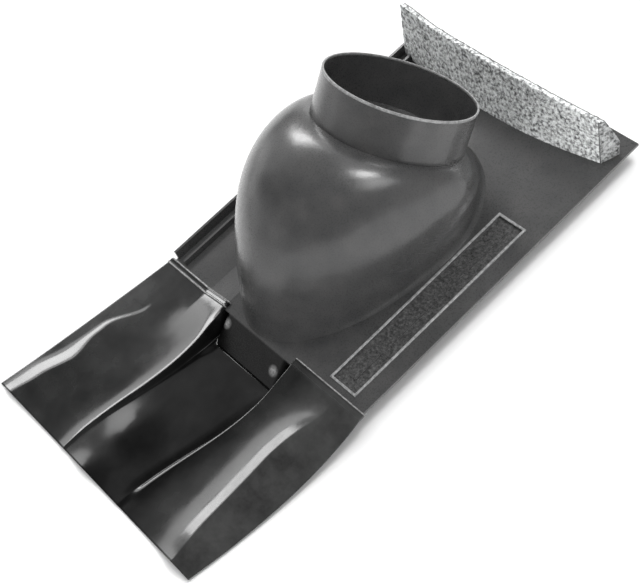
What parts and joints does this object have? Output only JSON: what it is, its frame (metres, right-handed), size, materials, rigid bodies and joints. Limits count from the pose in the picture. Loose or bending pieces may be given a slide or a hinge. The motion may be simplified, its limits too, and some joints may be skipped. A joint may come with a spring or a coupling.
{
  "type": "roof tile vent",
  "caption": "Moulded roof tile with an egg-shaped dome and a tilted round pipe collar, a soft creased apron in front and a foam seal strip behind.",
  "frame": {"origin": "centre of the bounding box's base, on the plane that the tile's underside and the apron's foot lie on", "axes": "+X across the tile to the right, +Y up the roof slope from the apron to the foam, +Z square to the roof, outwards"},
  "size_m": [0.383, 0.659, 0.2232],
  "materials": {
    "moulded_plastic": "fine grained black moulding with a soft sheen",
    "soft_apron": "smooth black sheet, glossy over its folds",
    "seal_foam": "open-cell grey foam, speckled light and dark"
  },
  "bodies": {
    "root": {"tile_shell": "moulded_plastic", "flashing_apron": "soft_apron", "foam_seal_strip": "seal_foam"}
  },
  "joints": []
}
